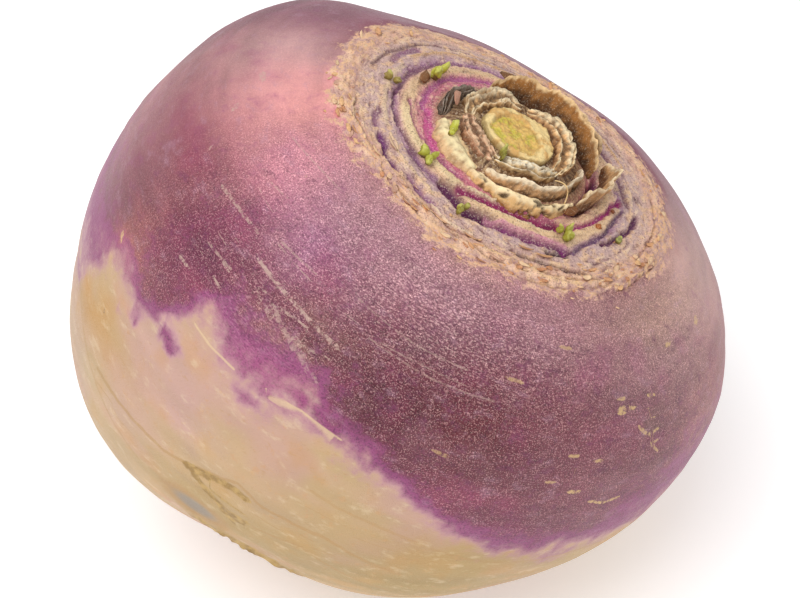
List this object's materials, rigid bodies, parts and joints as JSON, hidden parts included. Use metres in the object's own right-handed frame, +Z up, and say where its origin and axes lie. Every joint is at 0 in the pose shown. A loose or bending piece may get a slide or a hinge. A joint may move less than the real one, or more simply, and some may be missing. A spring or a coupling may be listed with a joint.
{
  "type": "turnip",
  "caption": "Purple-topped turnip with a trimmed crown of dried leaf bases, a cut stem, small green buds and a short taproot, lying tilted on a flat spot.",
  "frame": {"origin": "middle of the turnip's box seen from above, on the surface that it lies on", "axes": "+Z up from that surface, +X the way the crown leans, square to both is +Y"},
  "size_m": [0.0906, 0.0896, 0.0779],
  "materials": {
    "root_skin": "satin waxy skin, mauve and magenta on the crown half and cream below, with a corky tan ring and ledges at the crown",
    "cut_stem": "cut plant tissue, moist yellow-green in the middle and dry cream at the edge",
    "dried_leaf_base": "dried, fibrous and spongy, beige to brown with grey withered edges",
    "fresh_bud": "fresh satin green"
  },
  "bodies": {
    "root": {"turnip_root": "root_skin", "cut_stem": "cut_stem", "leaf_base_inner_right": "dried_leaf_base", "leaf_base_inner_back": "dried_leaf_base", "leaf_base_inner_left": "dried_leaf_base", "leaf_base_inner_front": "dried_leaf_base", "leaf_base_front": "dried_leaf_base", "leaf_base_left": "dried_leaf_base", "leaf_base_withered": "dried_leaf_base", "leaf_base_tall": "dried_leaf_base", "leaf_base_spongy": "dried_leaf_base", "leaf_base_frilled": "dried_leaf_base", "leaf_base_outer": "dried_leaf_base", "bud_1": "fresh_bud", "bud_2": "fresh_bud", "bud_3": "fresh_bud", "bud_4": "fresh_bud", "bud_5": "fresh_bud", "bud_6": "fresh_bud", "bud_7": "fresh_bud", "bud_8": "fresh_bud"}
  },
  "joints": []
}
